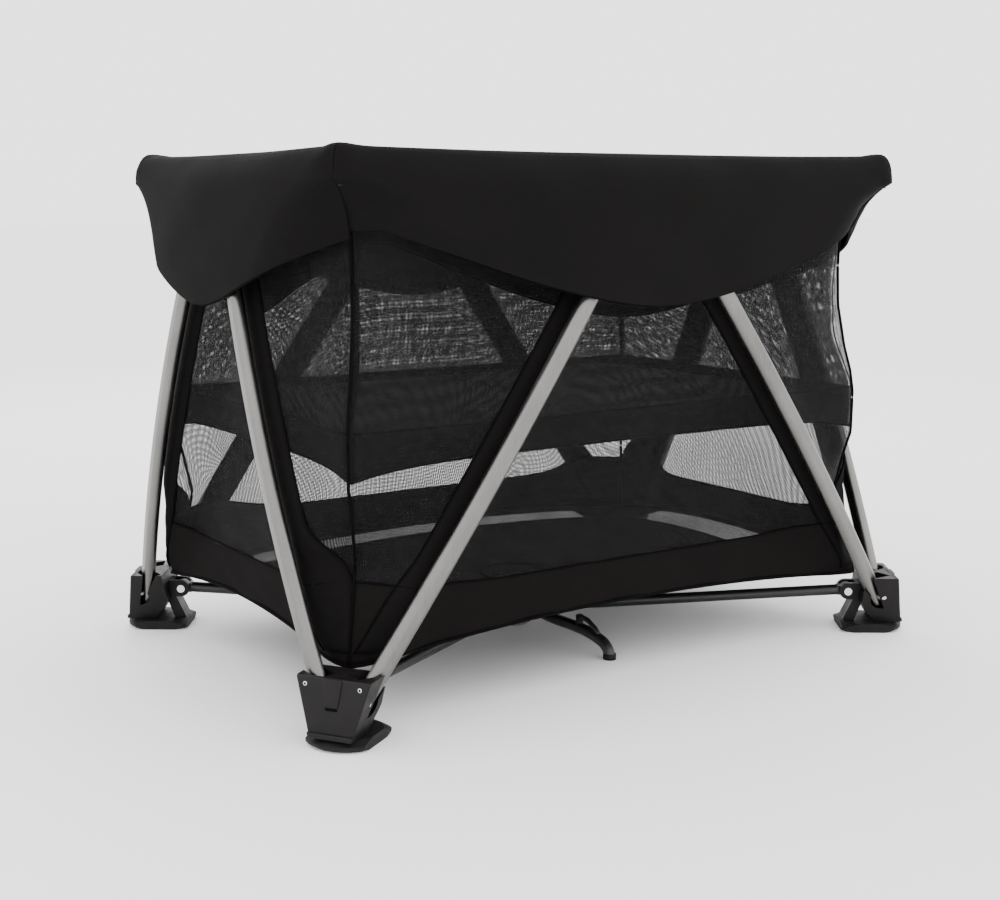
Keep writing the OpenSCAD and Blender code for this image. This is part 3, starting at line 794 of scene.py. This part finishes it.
def makeTubSide(side):
    lift = tubSet["top"] - tubSet["bandTop"] + 0.01
    upper, s = tubSheet("bassinetMesh", side, tubSet["bandTop"] - 0.004, tubSet["top"], 24, 0.0, tubMesh)
    declareSheet(upper, float(s.max() - s.min()), lift, ["bassinet_clips"])
    hangOnTub(upper)
    lower, s = tubSheet("bassinetBand", side, tubLow, tubSet["bandTop"], 14, 0.001, tubCloth, 0.003)
    thicken(lower, 0.0022)
    declareSheet(lower, float(s.max() - s.min()), tubSet["bandFlat"], ["bassinet_clips"], 2)
    hangOnTub(lower)
    if side == "front":
        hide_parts("bassinet")
    a = np.linspace(-1, 1, 81)
    tapes = {"Top": (tubSet["top"] + 0 * a, 0.0032), "Mid": (tubSet["bandTop"] + 0 * a, 0.0016),
             "Low": (tubLow(a), 0.0022)}
    for label, (line, radius) in tapes.items():
        path, _ = tubPoint(side, a, line, 0.001)
        hangOnTub(tubeObject("bassinet" + label + "Tape_" + side, path, radius, bindingTape))


def makeTubSeam(side, sign):
    # seam strip down a corner
    z = np.linspace(tubLow(np.array(1.0)), tubSet["top"], 40)[:, None]
    across = np.linspace(-0.5, 0.5, 3)[None, :] * tubSet["seam"]
    diagonal, _ = tubPoint(side, np.full_like(z, sign), z, 0.0022)
    sx = np.sign(diagonal[0, 0, 0])
    sy = np.sign(diagonal[0, 0, 1])
    tangent = np.array([-sy, sx, 0]) / sqrt(2)
    points = diagonal + across[..., None] * tangent
    uvs = np.stack([across + 0 * z, z + 0 * across], -1)
    strip = gridObject("bassinetSeam_" + side + ("A" if sign < 0 else "B"), points, tubCloth, uvs)
    thicken(strip, 0.002, 0.0)
    hangOnTub(strip)


def roundCorner(x, y, half, row, radius):
    # draw a point of a rectangle's corner in to a round one
    dx, dy = abs(x) - (half - radius), abs(y) - (row - radius)
    if dx <= 0 or dy <= 0:
        return x, y
    length = max(1e-6, sqrt(dx * dx + dy * dy) / max(dx, dy))
    return np.sign(x) * (half - radius + dx / length), np.sign(y) * (row - radius + dy / length)


def makeTubBottom():
    # a sheet that hangs to the tips at its corners
    n = tubSet["cells"]
    half, row, radius = (float(c) for c in tubPlan(np.float64(tubSet["bottomPlan"])))
    half, row = half - 0.001, row - 0.001
    ticks = np.linspace(-1, 1, n + 1)
    grid, uvs = [], []
    for p in ticks:
        for q in ticks:
            nearCorner = exp(-(1 - min(abs(p), abs(q))) / 0.16)
            x, y = roundCorner(half * p, row * q, half, row, radius)
            grid.append((x, y, tubSet["lowMid"] + 0.0005 - tubSet["tip"] * nearCorner))
            uvs.append((x, y))
    faces = [(i * (n + 1) + j, i * (n + 1) + j + 1, (i + 1) * (n + 1) + j + 1, (i + 1) * (n + 1) + j)
             for i in range(n) for j in range(n)]
    bottom = newObject("bassinetBottom", grid, faces, tubCloth, uvs)
    thicken(bottom, 0.002, 1.0)
    declareSheet(bottom, *tubSet["bottomFlat"], ["bassinet_clips"], 2)
    hangOnTub(bottom)


for side in sides:
    makeTubSide(side)
for side, sign in (("front", -1), ("front", 1), ("back", -1), ("back", 1)):
    makeTubSeam(side, sign)
makeTubBottom()
print("bassinet ready")

# mattress
mattressSet = {"length": 0.892, "width": 0.574, "low": 0.376, "thick": 0.026, "voxel": 0.009, "pressure": 4.0,
               "cap": 0.006, "shrink": 0.012, "lift": 0.002, "round": 0.035, "frames": 20, "press": 0.55,
               "channels": (-0.224, 0.0, 0.224), "channelWidth": 0.010}


def makeMattress():
    shape = bmesh.new()
    bmesh.ops.create_cube(shape, size=1)
    for vertex in shape.verts:
        vertex.co.x *= mattressSet["length"] - mattressSet["shrink"]
        vertex.co.y *= mattressSet["width"] - mattressSet["shrink"]
        vertex.co.z = mattressSet["low"] + mattressSet["thick"] * (0.5 + vertex.co.z) + mattressSet["lift"]
    upright = [e for e in shape.edges if abs(e.verts[0].co.z - e.verts[1].co.z) > 0.01]
    bmesh.ops.bevel(shape, geom=upright, offset=mattressSet["round"], segments=6, affect="EDGES")
    data = bpy.data.meshes.new("mattressPad")
    shape.to_mesh(data)
    shape.free()
    made = bpy.data.objects.new("mattressPad", data)
    bpy.context.scene.collection.objects.link(made)
    remesh = made.modifiers.new("remesh", "REMESH")
    remesh.mode = "VOXEL"
    remesh.voxel_size = mattressSet["voxel"]
    applyModifiers(made)
    start = np.array([v.co for v in made.data.vertices])
    cloth = made.modifiers.new("cloth", "CLOTH")
    cloth.settings.use_pressure = True
    cloth.settings.uniform_pressure_force = mattressSet["pressure"]
    cloth.settings.effector_weights.gravity = 0
    cloth.settings.quality = 5
    for number in range(1, mattressSet["frames"] + 1):
        bpy.context.scene.frame_set(number)
    applyModifiers(made)
    bpy.context.scene.frame_set(1)
    end = np.array([v.co for v in made.data.vertices])
    move = end - start
    length = np.linalg.norm(move, axis=1)[:, None]
    end = start + move * np.minimum(1, mattressSet["cap"] / np.maximum(length, 1e-9))
    end[:, 2] = np.maximum(end[:, 2], mattressSet["low"] - 0.001)
    middle = mattressSet["low"] + mattressSet["thick"] / 2
    for channel in mattressSet["channels"]:
        dip = np.exp(-((end[:, 0] - channel) / mattressSet["channelWidth"]) ** 2)
        end[:, 2] += (middle - end[:, 2]) * dip * mattressSet["press"]
    made.data.vertices.foreach_set("co", end.astype(np.float32).ravel())
    made.data.materials.append(mattressCloth)
    subdivide = made.modifiers.new("smooth", "SUBSURF")
    subdivide.levels = 1
    subdivide.render_levels = 1
    applyModifiers(made)
    made.data.polygons.foreach_set("use_smooth", [True] * len(made.data.polygons))
    return made


mattress = makeMattress()
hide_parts("mattress")
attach(mattress, "mattress")
print("mattress ready")

# floor: four sheets, one over each arm
floorSet = {"length": 0.4955, "width": 0.3295, "edge": 0.0965, "rise": 0.028, "sag": 0.006, "corner": 0.040,
            "hole": 0.040, "windowIn": 0.086, "windowSide": 0.022, "windowOut": 0.024, "gusset": 0.150,
            "cells": 64, "foldedKeep": 0.12}
quarters = {"front_left": (-1, -1), "front_right": (1, -1), "back_left": (-1, 1), "back_right": (1, 1)}


def floorHeight(p, q):
    sag = floorSet["sag"] * (1 - max(abs(p), abs(q)))
    return floorSet["edge"] + floorSet["rise"] * abs(p * p - q * q) - sag


def floorPoint(p, q):
    x, y = roundCorner(floorSet["length"] * p, floorSet["width"] * q,
                       floorSet["length"], floorSet["width"], floorSet["corner"])
    # open a round hole for the pull handle
    away = sqrt(x * x + y * y)
    if away < floorSet["hole"] * 1.8:
        reach = floorSet["hole"] + away * (0.8 / 1.8)
        angle = atan2(y, x) if away > 1e-9 else pi / 4
        x, y = reach * cos(angle), reach * sin(angle)
    return x, y


def isWindow(p, q):
    # mesh along the two outer edges, with solid cloth in the corner
    fromX = floorSet["length"] - p * floorSet["length"]
    fromY = floorSet["width"] - q * floorSet["width"]
    nearEdge = fromX < floorSet["windowIn"] or fromY < floorSet["windowIn"] - floorSet["windowSide"]
    return nearEdge and min(fromX, fromY) > floorSet["windowOut"] and max(fromX, fromY) >= floorSet["gusset"]


def makeFloor(name, sx, sy):
    n = floorSet["cells"]
    ticks = np.linspace(0, 1, n + 1)
    uvs = [floorPoint(p, q) for p in ticks for q in ticks]
    heights = [floorHeight(p, q) for p in ticks for q in ticks]
    grid = [(sx * x, sy * y, z) for (x, y), z in zip(uvs, heights)]
    faces, picks = [], []
    for i in range(n):
        for j in range(n):
            if i == 0 and j == 0:
                continue
            face = (i * (n + 1) + j, (i + 1) * (n + 1) + j, (i + 1) * (n + 1) + j + 1, i * (n + 1) + j + 1)
            faces.append(face if sx * sy > 0 else face[::-1])
            picks.append(1 if isWindow((i + 0.5) / n, (j + 0.5) / n) else 0)
    made = newObject("floorSheet_" + name, grid, faces, [floorCloth, floorMesh], uvs)
    made.data.polygons.foreach_set("material_index", picks)
    return made


for name, (sx, sy) in quarters.items():
    made = makeFloor(name, sx, sy)
    if name == "front_left":
        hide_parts("floor_sheet")
    declareSheet(made, floorSet["length"], floorSet["width"], ["arm_" + name])
    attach(made, "arm_" + name)
    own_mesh(made)
print("floor ready")

# round flap over the handle's hole
flapSet = {"radius": 0.058, "height": 0.0935, "sag": 0.002, "rings": 8, "sides": 48, "thickness": 0.0016}


def flapRing(k):
    share = k / flapSet["rings"]
    radius = flapSet["radius"] * k / flapSet["rings"]
    z = flapSet["height"] - flapSet["sag"] * (1 - share ** 2)
    turns = [2 * pi * j / flapSet["sides"] for j in range(flapSet["sides"])]
    return [(radius * cos(turn), radius * sin(turn), z) for turn in turns]


def makeFlap():
    rows = [flapRing(k) for k in range(1, flapSet["rings"] + 1)]
    uvs = [[(x, y) for x, y, z in row] for row in rows]
    flap = gridObject("handleFlap", rows, floorCloth, uvs, closed=True)
    shape = bmesh.new()
    shape.from_mesh(flap.data)
    inner = [e for e in shape.edges if e.is_boundary and e.verts[0].co.xy.length < flapSet["radius"] / 2]
    bmesh.ops.holes_fill(shape, edges=inner)
    bmesh.ops.recalc_face_normals(shape, faces=shape.faces)
    shape.to_mesh(flap.data)
    shape.free()
    thicken(flap, flapSet["thickness"])
    hem = [(x * 0.99, y * 0.99, z) for x, y, z in rows[-1]]
    flapHem = tubeObject("handleFlapHem", hem + hem[:1], 0.0017, bindingTape, 6)
    for piece in (flap, flapHem):
        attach(piece, "fold_handle")


makeFlap()

# plates and screws on the feet
footSet = {"x": 0.518, "y": 0.354, "turn": 34.35, "faceTop": 0.0145, "faceLow": 0.0262,
           "top": 0.0965, "low": 0.015, "screwOut": 0.041, "screwUp": 0.087}

# outline on the face, depths from and to, material and edge rounding of each plate
footPlates = {
    "apron": ([(-0.0562, 0.0974), (0.0562, 0.0974), (0.0338, 0.0215), (-0.0338, 0.0215)],
              -0.004, 0.0042, footPlastic, 0.0030),
    "tongue": ([(-0.0150, 0.0970), (0.0150, 0.0970), (0.0100, 0.0590), (-0.0100, 0.0590)],
               0.0030, 0.0062, footPlastic, 0.0012),
    # the slot is a thin dark plate: painted shade standing in for the opening under the tongue
    "slot": ([(-0.0098, 0.0588), (0.0098, 0.0588), (0.0090, 0.0545), (-0.0090, 0.0545)],
             0.0036, 0.0046, bindingTape, 0.0004),
    "rim": ([(-0.0350, 0.0235), (0.0350, 0.0235), (0.0325, 0.0162), (-0.0325, 0.0162)],
            -0.002, 0.0062, footPlastic, 0.0012),
}


def facePoint(across, z, out=0.0):
    # a place on the sloping front face of a foot, in its own frame
    t = (footSet["top"] - z) / (footSet["top"] - footSet["low"])
    return [footSet["faceTop"] + (footSet["faceLow"] - footSet["faceTop"]) * t + out, across, z]


def prism(name, outline, low, high, material, bevel):
    # a plate whose outline is given on the front face, from low to high above it
    count = len(outline)
    vertices = [facePoint(a, z, low) for a, z in outline] + [facePoint(a, z, high) for a, z in outline]
    faces = [tuple(range(count))[::-1], tuple(range(count, 2 * count))]
    faces += [(k, (k + 1) % count, count + (k + 1) % count, count + k) for k in range(count)]
    made = newObject(name, vertices, faces, material, smooth=False)
    rounding = made.modifiers.new("rounding", "BEVEL")
    rounding.width = bevel
    rounding.segments = 3
    return applyModifiers(made)


def joinTo(name, parts, placeIn):
    # one object from several, moved by a function of each vertex
    vertices, faces, materials, picks = [], [], [], []
    for part in parts:
        base = len(vertices)
        vertices += [placeIn(v.co) for v in part.data.vertices]
        if part.data.materials[0] not in materials:
            materials.append(part.data.materials[0])
        picks += [materials.index(part.data.materials[0])] * len(part.data.polygons)
        faces += [tuple(base + k for k in p.vertices) for p in part.data.polygons]
        bpy.data.objects.remove(part)
    made = newObject(name, vertices, faces, materials, smooth=True)
    made.data.polygons.foreach_set("material_index", picks)
    shape = bmesh.new()
    shape.from_mesh(made.data)
    bmesh.ops.recalc_face_normals(shape, faces=shape.faces)
    shape.to_mesh(made.data)
    shape.free()
    return sharpenEdges(made, 35)


def discOutline(across, z, radius, count=20):
    turns = [2 * pi * k / count for k in range(count)]
    return [(across + radius * cos(turn), z + radius * sin(turn)) for turn in turns]


def dressFoot(name, sx, sy):
    turn = radians(footSet["turn"])

    def onFoot(co):
        return (sx * (footSet["x"] + co[0] * cos(turn) - co[1] * sin(turn)),
                sy * (footSet["y"] + co[0] * sin(turn) + co[1] * cos(turn)), co[2])

    parts = [prism(label, *plate) for label, plate in footPlates.items()]
    for across in (-footSet["screwOut"], footSet["screwOut"]):
        head = discOutline(across, footSet["screwUp"], 0.0030)
        # the socket is a dark disc laid on the head: painted shade standing in for the hex recess
        socketShade = discOutline(across, footSet["screwUp"], 0.0019, 6)
        parts.append(prism("screw", head, 0.003, 0.0046, zincPin, 0.0004))
        parts.append(prism("socket", socketShade, 0.0042, 0.0049, bindingTape, 0.0001))
    trim = joinTo("footTrim_" + name, parts, onFoot)
    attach(trim, "foot_" + name)


for name, (sx, sy) in quarters.items():
    dressFoot(name, sx, sy)
print("feet ready")

# centre legs: bent tubes with a post and a brace
legSet = {
    "row": 0.016, "start": -0.042,
    "Tube": ([(-0.004, 0.034), (-0.040, 0.031), (-0.115, 0.032), (-0.150, 0.031), (-0.178, 0.027),
              (-0.197, 0.021), (-0.2065, 0.012), (-0.2090, 0.006), (-0.2090, 0.0025)], 0.0092, blackTube, 20),
    "Brace": ([(-0.128, 0.052), (-0.150, 0.050), (-0.170, 0.041), (-0.186, 0.027)], 0.0042, blackTube, 12),
    "Post": ([(-0.128, 0.030), (-0.128, 0.054)], 0.0062, blackPlastic, 12),
    "Shoe": ([(-0.2090, 0.0095), (-0.2090, 0.0004)], 0.0106, padRubber, 20),
}


def makeCentreLeg(name, turn):
    for label in ("Tube", "Brace", "Post", "Shoe"):
        path, radius, material, count = legSet[label]
        if label == "Tube":
            path, _ = smoothLine(path, 48)
        line = [(turn * legSet["row"], turn * (legSet["start"] + y), z) for y, z in path]
        piece = tubeObject("centreLeg" + label + "_" + name, line, radius, material, count)
        if label == "Tube":
            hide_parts("centre_leg_" + name)
        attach(piece, "centre_leg_" + name)


makeCentreLeg("front", 1)
makeCentreLeg("back", -1)
print("centre legs ready")

# floor of the room
groundReach = 40
corners = [(x * groundReach, y * groundReach, 0) for x, y in ((-1, -1), (1, -1), (1, 1), (-1, 1))]
ground = newObject("ground", corners, [(0, 1, 2, 3)], floorPaint)
